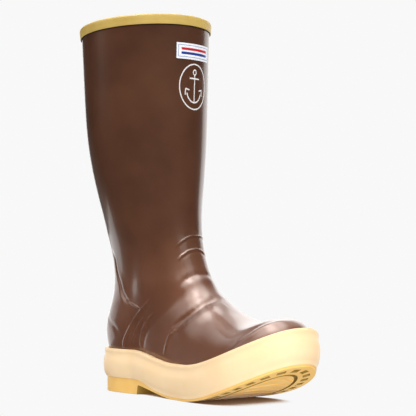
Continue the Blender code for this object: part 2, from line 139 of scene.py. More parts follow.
# Fineness of the dressed pieces
OUTER_COLUMNS = 120  # of the upper on the outer side of the foot
INNER_COLUMNS = 220  # and on the inner side, where most creases are
CREASED_STRETCH = (0.36, 0.93)  # share of the way from toe to heel where they stand closer
CREASED_EDGES = (0.08, 0.05)
CREASED_CROWD = 2.2
END_CROWD = 0.3
COLUMNS = OUTER_COLUMNS + INNER_COLUMNS
EVEN_COLUMNS = 240  # of the pieces round the upper
FOOT_ROWS = 200
SHAFT_ROWS = 30
LINING_FOOT_STEP = 8  # one lining row for so many outer rows
LINING_SHAFT_STEP = 3
FINE_ANGLES = 480
HEEL_WEIGHT = 1.2  # of the way up the back, in the spread of the foot's rows
RAY = (0.01, 1.03)  # shares of the length that a ray goes through from the leg's axis
RAY_STEPS = 50
RAY_HALVINGS = 26
CREASE_POINTS = 60
CREASE_REACH = 5  # in widths of a crease, and so the next two
DIP_PLACE = 2.0
DIP_WIDTH = 1.5

# The last from above, as shares of the ball's width
OUTLINE = [
    # share of the length, middle towards the inner side, half width
    (0.00, 0.000, 0.337),
    (0.15, 0.000, 0.347),
    (0.32, 0.010, 0.342),
    (0.48, 0.000, 0.378),
    (0.62, -0.022, 0.457),
    (0.72, -0.029, 0.500),
    (0.82, -0.012, 0.495),
    (0.92, 0.012, 0.469),
    (1.00, 0.033, 0.448),
]
# The foot's top line over its bed, as a share of the instep's height
TOP_LINE = [
    # share of the length, height, power of the cross section
    (0.00, 0.692, 2.35),
    (0.25, 0.817, 2.35),
    (0.40, 1.000, 2.35),
    (0.50, 0.949, 2.35),
    (0.60, 0.762, 2.35),
    (0.70, 0.600, 2.40),
    (0.80, 0.480, 2.55),
    (0.90, 0.425, 2.70),
    (1.00, 0.300, 2.70),
]
# The leg, level by level: 0 is the floor, 1 the ankle's height and 2 the rim
LEG = [
    # level, back and front as shares of the length, half width of the collar's, power
    (0.121, 0.010, 0.306, 0.233, 2.30),
    (0.273, 0.003, 0.320, 0.259, 2.30),
    (0.424, 0.003, 0.336, 0.278, 2.30),
    (0.606, 0.025, 0.380, 0.256, 2.20),
    (0.788, 0.031, 0.400, 0.268, 2.10),
    (1.000, 0.013, 0.400, 0.321, 2.05),
    (1.203, -0.021, 0.391, 0.400, 2.00),
    (1.428, -0.051, 0.385, 0.463, 2.00),
    (1.698, -0.073, 0.390, 0.485, 2.00),
    (2.014, -0.092, 0.398, 0.500, 2.00),
]
# The sidewall's outer face
SIDEWALL_FACE = [
    # share of its height, outward as a share of its thickness
    (0.00, 0.72),
    (0.10, 1.05),
    (0.30, 1.34),
    (0.60, 1.32),
    (0.86, 1.06),
    (0.93, 1.10),
    (1.00, 0.94),
]
# Creases of the rubber, with points in the frame. A crease is a soft wave across a line on the
# skin: so high at the line, and so deep beside it. Side 1 is left of its way, seen from outside
CREASES = {
    # name: (height, depth, side, width, share of the line that fades, points)
    "ankle_upper": (0.0008, 0.0002, -1, 0.0010, 0.25, [
        (0.0837, -0.0189, 0.1497), (0.0853, -0.0132, 0.1561), (0.0860, -0.0056, 0.1610),
        (0.0853, 0.0046, 0.1637), (0.0815, 0.0157, 0.1633), (0.0745, 0.0255, 0.1610),
        (0.0640, 0.0330, 0.1565)]),
    "ankle_lower": (0.0009, 0.0003, -1, 0.0011, 0.25, [
        (0.0880, -0.0199, 0.1362), (0.0895, -0.0153, 0.1418), (0.0907, -0.0092, 0.1464),
        (0.0908, 0.0004, 0.1495), (0.0894, 0.0095, 0.1488), (0.0865, 0.0180, 0.1450),
        (0.0810, 0.0265, 0.1400)]),
    "instep_fold": (-0.0008, -0.0004, -1, 0.0034, 0.35, [
        (0.0940, -0.0260, 0.1080), (0.1010, -0.0160, 0.1195), (0.1035, -0.0055, 0.1240),
        (0.1030, 0.0080, 0.1240), (0.0970, 0.0210, 0.1160)]),
    "quarter_fold": (-0.0021, -0.0007, 1, 0.0052, 0.32, [
        (0.1240, 0.0180, 0.0960), (0.1273, 0.0020, 0.1006), (0.1296, -0.0094, 0.0973),
        (0.1274, -0.0203, 0.0917), (0.1205, -0.0275, 0.0843), (0.1107, -0.0308, 0.0771),
        (0.1005, -0.0325, 0.0689), (0.0934, -0.0334, 0.0611)]),
    "quarter_line": (0.0014, 0.0002, 1, 0.0012, 0.45, [
        (0.1160, -0.0295, 0.0805), (0.1107, -0.0308, 0.0771), (0.1005, -0.0325, 0.0689),
        (0.0934, -0.0334, 0.0611), (0.0894, -0.0341, 0.0523), (0.0864, -0.0344, 0.0458),
        (0.0855, -0.0347, 0.0396)]),
    "achilles_fold": (-0.0016, -0.0003, 1, 0.0026, 0.30, [
        (-0.0110, -0.0290, 0.1500), (-0.0032, -0.0336, 0.1428), (-0.0004, -0.0323, 0.1270),
        (0.0064, -0.0332, 0.1152), (0.0126, -0.0341, 0.1035), (0.0215, -0.0348, 0.0972),
        (0.0307, -0.0349, 0.0935)]),
    "achilles_line": (0.0008, 0.0002, 1, 0.0010, 0.40, [
        (0.0215, -0.0348, 0.0972), (0.0307, -0.0349, 0.0935), (0.0422, -0.0353, 0.0899),
        (0.0496, -0.0343, 0.0849)]),
    "heel_ridge_1": (0.0014, 0.0003, 1, 0.0012, 0.25, [
        (0.0643, -0.0339, 0.1019), (0.0566, -0.0345, 0.0941), (0.0459, -0.0348, 0.0862),
        (0.0352, -0.0349, 0.0768), (0.0257, -0.0362, 0.0649), (0.0190, -0.0361, 0.0555),
        (0.0151, -0.0350, 0.0463), (0.0140, -0.0350, 0.0420)]),
    "heel_ridge_2": (0.0012, 0.0003, 1, 0.0011, 0.40, [
        (0.0589, -0.0331, 0.0877), (0.0505, -0.0333, 0.0798), (0.0419, -0.0334, 0.0718),
        (0.0355, -0.0336, 0.0639), (0.0304, -0.0338, 0.0547), (0.0272, -0.0334, 0.0468)]),
    "heel_ridge_3": (0.0009, 0.0002, 1, 0.0010, 0.40, [
        (0.0653, -0.0314, 0.0853), (0.0574, -0.0319, 0.0788), (0.0530, -0.0320, 0.0750)]),
    "heel_ridge_4": (0.0016, 0.0004, 1, 0.0020, 0.40, [
        (0.0540, -0.0320, 0.0765), (0.0508, -0.0320, 0.0721), (0.0452, -0.0317, 0.0630),
        (0.0423, -0.0315, 0.0526), (0.0428, -0.0318, 0.0449)]),
    "heel_dent": (-0.0006, 0.0, 1, 0.0030, 0.35, [
        (-0.0200, -0.0270, 0.0830), (-0.0100, -0.0320, 0.0740), (0.0030, -0.0340, 0.0680),
        (0.0130, -0.0350, 0.0600)]),
    "toe_ridge": (0.0011, 0.0010, 1, 0.0034, 0.42, [
        (0.1930, -0.0440, 0.0480), (0.2034, -0.0426, 0.0536), (0.2121, -0.0391, 0.0616),
        (0.2216, -0.0349, 0.0682), (0.2293, -0.0292, 0.0743), (0.2376, -0.0180, 0.0799),
        (0.2395, -0.0009, 0.0815), (0.2375, 0.0090, 0.0817)]),
}

# Heights between which the brown turns lighter towards the foot: painted light, for the stronger
# light that falls on the foot from above and from the floor
PAINTED_LIGHT_UNDER = (0.19, 0.09)

# Camera and lights
CAMERA_PLACE = (1.2577, -0.9068, 0.1379)
CAMERA_AZIMUTH = math.radians(51.577)
CAMERA_PITCH = math.radians(2.100)
CAMERA_LENS = 124.75
CAMERA_SENSOR = 36.0
PALE = 0.939
SHADOW_REACH = 0.03  # how far up the floor looks for what shades it
FLOOR_RADIUS = 6.0
FLOOR_DROP = 0.0002  # how far under the sole, so that the two don't mix
LAMPS = [
    # name, (turn, rise, distance), from this place, towards this one, size, power
    ("key", (35, 48, 2.0), (0.0, 0.0, 0.0), (0.05, 0.0, 0.15), (1.0, 1.0), 3.8),
    ("low_card", (4, 4, 0.75), (0.0, 0.0, 0.0), (0.08, 0.0, 0.03), (0.9, 0.12), 2.7),
    ("heel_card", (-136, 0, 0.3), (-0.03, 0.0, 0.055), (-0.03, 0.0, 0.055), (0.30, 0.155), 0.2),
]
# The room's glows: degrees right of the camera's line and up, degrees of their reach and of
# their full part, strength as light and as what the gloss mirrors
SOFT_LIGHTS = [
    # turn, rise, reach, full part, light, mirrored
    (0, 90, 56, 0, 1.75, 0.0),
    (0, 90, 40, 0, 0.0, 7.5),
    (45, 60, 36, 0, 1.1, 0.0),
    (-20, 64, 24, 0, 0.5, 4.2),
    (-62, 56, 32, 0, 1.2, 6.8),
    (-90, 28, 24, 0, 0.1, 2.0),
    (-135, 48, 30, 0, 0.2, 1.7),
    (167, 8, 34, 31, 1.0, 1.5),
    (180, 46, 46, 10, 1.0, 1.2),
    (-155, -28, 46, 6, 0.6, 0.15),
    (28, 0, 90, 20, 0.5, 0.0),
    (80, -8, 60, 0, 0.5, 0.0),
]
LIGHT = 4  # the table's columns
MIRRORED = 5


def spline(table, column, at):
    """Natural cubic curve through one column of a table, over the table's first column."""
    xs, ys = np.array([(row[0], row[column]) for row in table]).T
    steps = np.diff(xs)
    slopes = np.diff(ys) / steps
    count = len(xs)
    matrix = np.eye(count)
    right = np.zeros(count)
    for i in range(1, count - 1):
        matrix[i, i - 1:i + 2] = steps[i - 1], 2 * (steps[i - 1] + steps[i]), steps[i]
        right[i] = 6 * (slopes[i] - slopes[i - 1])
    bend = np.linalg.solve(matrix, right)
    at = np.clip(np.asarray(at, float), xs[0], xs[-1])
    i = np.clip(np.searchsorted(xs, at) - 1, 0, count - 2)
    ahead = xs[i + 1] - at
    behind = at - xs[i]
    cubic = (bend[i] * ahead**3 + bend[i + 1] * behind**3) / (6 * steps[i])
    return (cubic + (ys[i] / steps[i] - bend[i] * steps[i] / 6) * ahead
            + (ys[i + 1] / steps[i] - bend[i + 1] * steps[i] / 6) * behind)


def ease(value, start=0.0, end=1.0):
    """Smooth step from 0 at the start to 1 at the end."""
    share = np.clip((value - start) / (end - start), 0.0, 1.0)
    return share * share * (3 - 2 * share)


def spring(x):
    """Lift of the sole towards the toe."""
    share = np.clip((x / LAST_LENGTH - SPRING_START) / (1 - SPRING_START), 0, SPRING_LIMIT)
    return TOE_SPRING * share**SPRING_POWER


def fall(x):
    """0 over the heel and 1 over the ball."""
    return ease(x / LAST_LENGTH, FALL_START, FALL_END)


def sole_line(x):
    """Height of the sidewall's underside, where it meets the outsole."""
    return HEEL_HEIGHT + (SOLE_THICKNESS - HEEL_HEIGHT) * fall(x) + spring(x)


def bed(x):
    """Height of the sidewall's floor, on which the upper and the insole stand."""
    return sole_line(x) + HEEL_BED + (BALL_BED - HEEL_BED) * fall(x)


def outline(x):
    """The last's middle and half width, seen from above."""
    share = x / LAST_LENGTH
    middle = INNER * BALL_WIDTH * spline(OUTLINE, 1, share)
    half = BALL_WIDTH * spline(OUTLINE, 2, share)
    toe = np.clip((x - LAST_LENGTH + TOE_ROUND) / TOE_ROUND, 0, 1)
    heel = np.clip((HEEL_ROUND - x) / HEEL_ROUND, 0, 1)
    ends = (1 - toe**TOE_POWER)**(1 / TOE_POWER) * (1 - heel**HEEL_POWER)**(1 / HEEL_POWER)
    return middle, half * ends


def foot(x, y, z):
    """Under 0 inside the foot of the last, about a distance outside it."""
    inside = np.clip(x, 0.0, LAST_LENGTH - 1e-5)
    share = inside / LAST_LENGTH
    tuck = HEEL_TUCK * (1 - ease(share, TUCK_START, TUCK_END))
    middle, half = outline(inside)
    half = np.maximum(half - tuck, 1e-4)
    floor = bed(inside)
    dome = np.clip((inside - LAST_LENGTH + TOE_DOME) / TOE_DOME, 0, 1)
    high = INSTEP_HEIGHT * spline(TOP_LINE, 1, share)
    high = np.maximum(high * (1 - dome**DOME_POWER)**(1 / DOME_POWER), 1e-4)
    power = spline(TOP_LINE, 2, share)
    across = np.abs((y - middle) / half)**power
    up = (np.maximum(z - floor, 0) / high)**power
    value = ((across + up)**(1 / power) - 1) * np.minimum(half, high)
    beyond = (x > LAST_LENGTH) | (x < FOOT_START * LAST_LENGTH)
    return np.where(beyond, 0.1 + np.abs(x), value)


def leg_level(z):
    """Height as a level of the leg's table."""
    low = np.minimum(z / ANKLE_HEIGHT, 1.0)
    high = np.maximum(z - ANKLE_HEIGHT, 0.0) / (BOOT_HEIGHT - ANKLE_HEIGHT)
    return low + high


def leg(x, y, z):
    """Under 0 inside the leg of the last, about a distance outside it."""
    level = leg_level(z)
    back = LAST_LENGTH * spline(LEG, 1, level)
    front = LAST_LENGTH * spline(LEG, 2, level)
    half = COLLAR_WIDTH * spline(LEG, 3, level)
    power = spline(LEG, 4, level)
    reach = (front - back) / 2
    along = np.abs((x - back - reach) / reach)**power
    across = np.abs(y / half)**power
    return ((along + across)**(1 / power) - 1) * np.minimum(reach, half)


def last(x, y, z):
    """The whole last: foot and leg with a soft joint between them."""
    a = foot(x, y, z)
    b = leg(x, y, z)
    ahead = ease((x / LAST_LENGTH - BLEND_START) / BLEND_START)
    soft = BLEND_LOW + BLEND_HIGH * ahead * ease((z / ANKLE_HEIGHT - BLEND_BASE) / BLEND_RISE)
    share = np.clip(0.5 + 0.5 * (b - a) / soft, 0, 1)
    return b * (1 - share) + a * share - soft * share * (1 - share)


def row_height(row, x):
    """Height of a row over x: 0 follows the bed, 1 is level, 2 is the sloping rim."""
    low = np.clip(row, 0, 1)
    high = np.maximum(row - 1, 0)
    lean = ROW_LEAN * low * (1 - low) * (x - ROW_PIVOT * LAST_LENGTH)
    rise = high * (BOOT_HEIGHT - ANKLE_HEIGHT + COLLAR_SLOPE * (x - RIM_PIVOT * LAST_LENGTH))
    return (1 - low) * bed(x) + low * ANKLE_HEIGHT + lean + rise


def cast(angles, height):
    """Points of the last along level rays from the leg's axis, at height(x)."""
    def place(reach):
        x = AXIS_SHARE * LAST_LENGTH + reach * np.cos(angles)
        return x, reach * np.sin(angles), height(x)

    reach = np.linspace(*RAY, RAY_STEPS)[:, None] * LAST_LENGTH
    first_out = np.argmin(last(*place(reach)) < 0, axis=0)
    near = reach[np.maximum(first_out - 1, 0), 0]
    far = reach[first_out, 0]
    for _ in range(RAY_HALVINGS):
        middle = (near + far) / 2
        inside = last(*place(middle)) < 0
        near = np.where(inside, middle, near)
        far = np.where(inside, far, middle)
    return np.stack(place(middle), axis=1)


def even_shares(count):
    """Places of columns along one side, front to back, closer together at both ends."""
    share = np.linspace(0, 1, count + 1)
    return share - END_CROWD * np.sin(2 * math.pi * share) / (2 * math.pi)


def creased_shares(count):
    """The same with more columns where the creases are."""
    fine = np.linspace(0, 1, 400)
    start, end = CREASED_STRETCH
    grow, shrink = CREASED_EDGES
    crowd = 1 + CREASED_CROWD * ease((fine - start) / grow) * ease((end - fine) / shrink)
    way = np.r_[0, np.cumsum((crowd[1:] + crowd[:-1]) / 2)]
    return np.interp(even_shares(count), way / way[-1], fine)


OUTER_SHARES = even_shares(OUTER_COLUMNS)
INNER_SHARES = creased_shares(INNER_COLUMNS)


def way_along(points):
    """Length of a line up to each of its points."""
    return np.r_[0, np.cumsum(np.linalg.norm(np.diff(points, axis=0), axis=1))]


def ring(row):
    """One row of the upper: column 0 is the front, then the outer side, back and inner side."""
    turns = np.linspace(0, 2 * math.pi, FINE_ANGLES + 1)
    fine = cast(turns, lambda x: row_height(row, x))
    length = way_along(fine)
    middle = length[FINE_ANGLES // 2]
    first = np.interp(OUTER_SHARES * middle, length, turns)
    second = np.interp(length[-1] - INNER_SHARES * (length[-1] - middle), length, turns)
    angles = np.r_[first, second[1:-1][::-1]]
    return cast(angles, lambda x: row_height(row, x))


def evened(rings):
    """The upper's rows with evenly spread columns, as many on both sides."""
    spread_shares = even_shares(EVEN_COLUMNS // 2)
    outer = np.interp(spread_shares, OUTER_SHARES, np.arange(OUTER_COLUMNS + 1))
    inner = COLUMNS - np.interp(spread_shares, INNER_SHARES, np.arange(INNER_COLUMNS + 1))
    spots = np.r_[outer, inner[1:-1][::-1]]
    low = np.floor(spots).astype(int)
    share = (spots - low)[None, :, None]
    return rings[:, low % COLUMNS] * (1 - share) + rings[:, (low + 1) % COLUMNS] * share


def foot_rows(count):
    """Rows from the bed to the ankle, spread by the way they go over front and back."""
    fine = np.linspace(0, 1, 120)
    ends = np.array([0.0, math.pi])
    marks = np.array([cast(ends, lambda x, row=row: row_height(row, x)) for row in fine])
    steps = np.linalg.norm(np.diff(marks, axis=0), axis=2)
    way = np.r_[0, np.cumsum(steps[:, 0] + HEEL_WEIGHT * steps[:, 1])]
    return np.interp(np.linspace(0, way[-1], count), way, fine)


def upper_rings():
    """Rows of the upper's outer face, from its lower edge to the rim."""
    rows = list(foot_rows(FOOT_ROWS))
    rows += list(np.linspace(1, 2, SHAFT_ROWS + 1)[1:])
    rings = np.array([ring(row) for row in rows])
    rings[0][:, 2] += GAP
    return rings


def outward(points):
    """Level unit vectors that point away from a ring of points."""
    along = np.roll(points, -1, axis=0) - np.roll(points, 1, axis=0)
    away = np.stack([along[:, 1], -along[:, 0], np.zeros(len(points))], axis=1)
    return away / np.linalg.norm(away, axis=1)[:, None]


def grid_normals(rings):
    """Unit normals of a grid of rings, pointing out of the boot."""
    round_way = np.roll(rings, -1, axis=1) - np.roll(rings, 1, axis=1)
    up_way = np.gradient(rings, axis=0)
    normals = np.cross(round_way, up_way)
    return normals / np.maximum(np.linalg.norm(normals, axis=2), 1e-12)[:, :, None]


def at_height(rings, heights):
    """Point where each column of the upper first comes to that column's height."""
    points = []
    for column, height in enumerate(heights):
        path = rings[:, column]
        climb = np.maximum.accumulate(path[:, 2])
        points.append([*(np.interp(height, climb, path[:, k]) for k in range(2)), height])
    return np.array(points)


def smooth_line(points, count):
    """Catmull-Rom curve through points, as count samples."""
    points = np.asarray(points, float)
    padded = np.vstack([2 * points[0] - points[1], points, 2 * points[-1] - points[-2]])
    spans = len(points) - 1
    out = []
    for mark in np.linspace(0, spans, count):
        i = min(int(mark), spans - 1)
        t = mark - i
        a, b, c, d = padded[i:i + 4]
        out.append(0.5 * (2 * b + (c - a) * t + (2 * a - 5 * b + 4 * c - d) * t**2
                          + (3 * b - a - 3 * c + d) * t**3))
    return np.array(out)


def skin_line(points, spots):
    """Smooth line through points, drawn onto the skin's nearest spots."""
    line = smooth_line(points, CREASE_POINTS)
    for k, point in enumerate(line):
        line[k] = spots[np.argmin(((spots - point)**2).sum(axis=1))]
    line[1:-1] = (line[:-2] + 2 * line[1:-1] + line[2:]) / 4
    return line


def beside(line, spots, facing):
    """Distance of spots to a line, over 0 on its left, and their share of its way."""
    best = np.full(len(spots), 1.0)
    signed = np.zeros(len(spots))
    passed = np.zeros(len(spots))
    for k in range(len(line) - 1):
        step = line[k + 1] - line[k]
        size = max(float(step @ step), 1e-12)
        t = np.clip((spots - line[k]) @ step / size, 0, 1)
        away = spots - line[k] - t[:, None] * step
        distance = np.linalg.norm(away, axis=1)
        turn = np.einsum("ij,ij->i", np.cross(np.broadcast_to(step, away.shape), away), facing)
        closer = distance < best
        best = np.where(closer, distance, best)
        signed = np.where(closer, np.sign(turn) * distance, signed)
        passed = np.where(closer, (k + t) / (len(line) - 1), passed)
    return signed, passed


def crease_wave(rings, normals):
    """Displacement of the outer face by all creases."""
    spots = rings.reshape(-1, 3) - np.array([HEEL_BACK, 0, 0])
    facing = normals.reshape(-1, 3)
    total = np.zeros(len(spots))
    for height, depth, side, width, run_out, points in CREASES.values():
        line = skin_line(points, spots)
        low = line.min(axis=0) - CREASE_REACH * width
        high = line.max(axis=0) + CREASE_REACH * width
        near = np.where(((spots > low) & (spots < high)).all(axis=1))[0]
        signed, passed = beside(line, spots[near], facing[near])
        fade = ease(passed / run_out) * ease((1 - passed) / run_out)
        top = height * np.exp(-(signed / width)**2)
        dip = depth * np.exp(-((signed * side - DIP_PLACE * width) / (DIP_WIDTH * width))**2)
        total[near] += fade * (top - dip)
    return total.reshape(rings.shape[:2])


def colour(red, green, blue):
    """Linear colour of a screen colour given in 0 to 255."""
    shares = [value / 255 for value in (red, green, blue)]
    linear = [s / 12.92 if s <= 0.04045 else ((s + 0.055) / 1.055)**2.4 for s in shares]
    return (*linear, 1.0)


def new_node(near, kind):
    """Node beside a node or socket of the same tree."""
    return near.id_data.nodes.new(kind)


def fill(node, values):
    """Set a node's inputs by name or place."""
    for name, value in values.items():
        node.inputs[name].default_value = value


def wire(source, node, name):
    """Link an output to a node's input, by name or place."""
    node.id_data.links.new(source, node.inputs[name])


def new_material(name, roughness):
    """Material with its shader and object coordinates."""
    mat = bpy.data.materials.new(name)
    mat.use_nodes = True
    shader = mat.node_tree.nodes["Principled BSDF"]
    fill(shader, {"Roughness": roughness})
    return mat, shader, new_node(shader, "ShaderNodeTexCoord").outputs["Object"]


def noise(place, scale, detail):
    """Noise at a scale in waves a metre."""
    node = new_node(place, "ShaderNodeTexNoise")
    fill(node, {"Scale": scale, "Detail": detail})
    wire(place, node, "Vector")
    return node.outputs["Fac"]


def ramp(value, stops):
    """Colours over a value."""
    node = new_node(value, "ShaderNodeValToRGB")
    marks = node.color_ramp.elements
    for mark, (position, stop) in zip(marks, (stops[0], stops[-1])):
        mark.position = position
        mark.color = stop
    for position, stop in stops[1:-1]:
        marks.new(position).color = stop
    wire(value, node, "Fac")
    return node.outputs["Color"]


def two_tone(value, low, high, top=0.70):
    """Colour that wanders between two tones."""
    return ramp(value, [(0.30, colour(*low)), (top, colour(*high))])


def map_range(value, source, target=(0.0, 1.0), smooth=False):
    """A value's range mapped to another range."""
    node = new_node(value, "ShaderNodeMapRange")
    if smooth:
        node.interpolation_type = "SMOOTHSTEP"
    fill(node, dict(zip(("From Min", "From Max", "To Min", "To Max"), (*source, *target))))
    wire(value, node, "Value")
    return node.outputs["Result"]


def mixed(kind, factor, first, second):
    """Mix of two colours or values."""
    node = new_node(factor, "ShaderNodeMix")
    node.data_type = kind
    wire(factor, node, "Factor")
    wire(first, node, "A")
    wire(second, node, "B")
    return node.outputs["Result"]


def bump(shader, height, strength, distance):
    """Relief on a shader."""
    node = new_node(shader, "ShaderNodeBump")
    fill(node, {"Strength": strength, "Distance": distance})
    wire(height, node, "Height")
    wire(node.outputs["Normal"], shader, "Normal")


def brown_rubber():
    """Glossy dipped rubber, slightly cloudy, with a clearer skin, painted lighter on the foot
    where more light falls.
    """
    mat, shader, place = new_material("brown_rubber", 0.40)
    cloud = noise(place, 18.0, 4.0)
    shaft = two_tone(cloud, (72, 43, 30), (88, 55, 38), 0.68)
    # Painted light: a lighter copy of the brown for the foot, blended in below the shaft
    lit_foot_tone = two_tone(cloud, (94, 58, 42), (110, 70, 51), 0.68)
    axes = new_node(place, "ShaderNodeSeparateXYZ")
    wire(place, axes, 0)
    lower = map_range(axes.outputs["Z"], PAINTED_LIGHT_UNDER, smooth=True)
    wire(mixed("RGBA", lower, shaft, lit_foot_tone), shader, "Base Color")
    haze = noise(place, 55.0, 5.0)
    wire(map_range(haze, (0.0, 1.0), (0.30, 0.38)), shader, "Roughness")
    bump(shader, noise(place, 260.0, 2.0), 0.03, 0.0002)
    fill(shader, {"Specular Tint": (1.0, 0.84, 0.72, 1.0), "Coat Weight": 0.55,
                  "Coat Roughness": 0.12})
    return mat


def gap_shade_rubber():
    """Near-black rubber for the line under the binding: painted shade of the gap there."""
    mat, shader, _ = new_material("gap_shade_rubber", 0.6)
    fill(shader, {"Base Color": colour(38, 20, 12)})
    return mat


def matt_rubber(name, roughness, cloud, tones, grain, gloss=None):
    """Clouded rubber with a grain. A noise comes as scale and detail, then its values."""
    mat, shader, place = new_material(name, roughness)
    wire(two_tone(noise(place, *cloud), *tones), shader, "Base Color")
    if gloss:
        uneven = noise(place, *gloss[:2])
        wire(map_range(uneven, (0.0, 1.0), gloss[2:]), shader, "Roughness")
    bump(shader, noise(place, *grain[:2]), *grain[2:])
    return mat


def cream_rubber():
    """Light sidewall rubber, matt with a faint sheen."""
    tones = (245, 210, 162), (249, 218, 174)
    return matt_rubber("cream_rubber", 0.45, (30.0, 5.0), tones, (700.0, 3.0, 0.10, 0.0003),
                       (90.0, 4.0, 0.38, 0.52))


def tan_rubber(name, share):
    """Outsole rubber, darker by a share: the darker copy is painted shade in the pockets, the
    oval groove and the heel's breast.
    """
    tones = [(red * share, green * share, blue * share**1.5)
             for red, green, blue in ((240, 189, 98), (249, 201, 114))]
    return matt_rubber(name, 0.5, (40.0, 5.0), tones, (900.0, 3.0, 0.12, 0.0003),
                       (120.0, 4.0, 0.42, 0.60))


def yellow_rubber():
    """The collar's binding."""
    tones = (192, 161, 82), (203, 173, 94)
    return matt_rubber("yellow_rubber", 0.42, (60.0, 4.0), tones, (600.0, 3.0, 0.12, 0.0003))


def knit_lining():
    """Pale knit lining with fine ribs."""
    mat, shader, place = new_material("knit_lining", 0.9)
    ribs = new_node(place, "ShaderNodeTexVoronoi")
    fill(ribs, {"Scale": 700.0})
    wire(place, ribs, "Vector")
    stops = [(0.0, colour(206, 203, 196)), (0.8, colour(150, 146, 138))]
    wire(ramp(ribs.outputs["Distance"], stops), shader, "Base Color")
    bump(shader, ribs.outputs["Distance"], 0.6, 0.0006)
    fill(shader, {"Sheen Weight": 0.3})
    return mat


def felt():
    """Insole of grey felt."""
    mat, shader, place = new_material("insole_felt", 0.95)
    fibre = noise(place, 900.0, 6.0)
    wire(two_tone(fibre, (120, 116, 110), (168, 164, 157)), shader, "Base Color")
    bump(shader, fibre, 0.5, 0.0005)
    fill(shader, {"Sheen Weight": 0.3})
    return mat


def print_ink(name, tint):
    """Flat print with a little unevenness."""
    mat, shader, place = new_material(name, 0.35)
    shade = noise(place, 300.0, 3.0)
    darker = tuple(0.88 * value for value in tint[:3]) + (1.0,)
    wire(ramp(shade, [(0.25, darker), (0.65, tint)]), shader, "Base Color")
    return mat


def ladder(bm, verts):
    """Close a ring of vertices with rungs from side to side."""
    count = len(verts)
    half = count // 2
    bm.faces.new([verts[0], verts[1], verts[-1]])
    for k in range(1, half - 1):
        bm.faces.new([verts[k], verts[k + 1], verts[count - k - 1], verts[count - k]])
    bm.faces.new([verts[half - 1], verts[half], verts[half + 1]])


def join_rows(bm, rows, closed=False):
    """Faces between neighbouring rings of vertices. If closed, the last joins the first."""
    ends = [(rows[-1], rows[0])] if closed else []
    for near, far in [*zip(rows[:-1], rows[1:]), *ends]:
        for k in range(len(near)):
            after = (k + 1) % len(near)
            bm.faces.new([near[k], near[after], far[after], far[k]])


def faced_out(bm):
    """The mesh with all its faces pointing out."""
    bmesh.ops.recalc_face_normals(bm, faces=bm.faces)
    return bm


def loft(rings, closed=False, caps=False):
    """Mesh through rings of points, closed from last to first or ended by caps."""
    bm = bmesh.new()
    rows = [[bm.verts.new(point) for point in points] for points in rings]
    join_rows(bm, rows, closed)
    if caps:
        ladder(bm, rows[0])
        ladder(bm, rows[-1])
    return faced_out(bm)


def add_object(name, data):
    """Object in the scene."""
    item = bpy.data.objects.new(name, data)
    bpy.context.scene.collection.objects.link(item)
    return item


def add_body(name, bm, mat):
    """Object with a mesh of one material."""
    mesh = bpy.data.meshes.new(name)
    bm.to_mesh(mesh)
    bm.free()
    mesh.materials.append(mat)
    return add_object(name, mesh)


def make_piece(name, bm, mat, replaced=None, sharp=40):
    """Finished piece of the boot, moved from the tables' zero into the frame."""
    item = add_body(name, bm, mat)
    item.data.transform(Matrix.Translation((-HEEL_BACK, 0, 0)))
    item.data.shade_smooth()
    item.data.set_sharp_from_angle(angle=math.radians(sharp))
    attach(item, "root")
    if replaced:
        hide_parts(replaced)
    return item


def dressed(rings):
    """The upper's outer face with its creases and its tuck at the sidewall."""
    normals = grid_normals(rings)
    over_lip = rings[:, :, 2] - sole_line(rings[:, :, 0]) - SIDEWALL_HEIGHT
    wave = crease_wave(rings, normals)
    above, below = LIP_FADE
    wave = np.where(wave > 0, wave * ease(over_lip / above), wave * ease(1 + over_lip / below))
    heelward = 1 - ease(rings[:, :, 0], *TUCK_LAST)
    tuck = TUCK_IN * heelward * np.exp(-np.maximum(over_lip, 0) / TUCK_HEIGHT)
    level = normals.copy()
    level[:, :, 2] = 0
    return rings + normals * wave[:, :, None] - level * tuck[:, :, None]


def make_upper(rings, outer, mats):
    """Rubber body with its lining, one closed skin: outer face, rim, lining and lower edge."""
    inner = rings - grid_normals(rings) * UPPER_WALL
    inner[-1][:, 2] = rings[-1][:, 2]
    inner[0][:, 2] = rings[0][:, 2]
    in_foot = range(0, FOOT_ROWS, LINING_FOOT_STEP)
    in_shaft = range(FOOT_ROWS, len(rings), LINING_SHAFT_STEP)
    picked = sorted({*in_foot, *in_shaft, len(rings) - 1})
    inner = inner[picked[::-1]]
    bm = loft(list(outer) + list(inner), closed=True)
    item = make_piece("upper_skin", bm, mats["rubber"], "upper", sharp=50)
    item.data.materials.append(mats["lining"])
    first_lining = (len(outer) - 1) * COLUMNS
    marks = np.zeros(len(item.data.polygons), np.int32)
    marks[first_lining:-COLUMNS] = 1
    item.data.polygons.foreach_set("material_index", marks)


def make_binding(rings, mat):
    """Moulded band folded over the rim, with a rolled top and a fine step."""
    rim = rings[-1][:, 2]
    inside = -UPPER_WALL - GAP
    lining = inside - BINDING_THICKNESS
    skin = GAP + BINDING_THICKNESS
    section = [
        # outward from the upper's outer face, height over the rim
        (GAP, -BINDING_DEPTH),
        (skin - 0.0002, -BINDING_DEPTH),
        (skin, -BINDING_DEPTH + 0.0003),
        (skin, -0.0062),
        (skin + 0.0001, -0.0040),
        (skin + 0.0003, -0.0030),
        (skin + 0.0003, -0.0008),
        (skin, 0.0004),
        (0.7 * skin, 0.0010),
        (0.2 * skin, 0.0014),
        (-0.5 * UPPER_WALL, 0.0015),
        (inside + 0.0002, 0.0012),
        (inside - 0.0007, 0.0006),
        (lining, -0.0004),
        (lining, -BINDING_TUCK + 0.0003),
        (lining + 0.0003, -BINDING_TUCK),
        (inside, -BINDING_TUCK),
        (inside, 1.5 * GAP),
        (GAP, 1.5 * GAP),
    ]
    rows = []
    for away, height in section:
        points = at_height(rings, rim + min(height, 0.0))
        points = points + outward(points) * away
        points[:, 2] = rim + height
        rows.append(points)
    make_piece("collar_roll", loft(rows, closed=True), mat, "collar_binding")


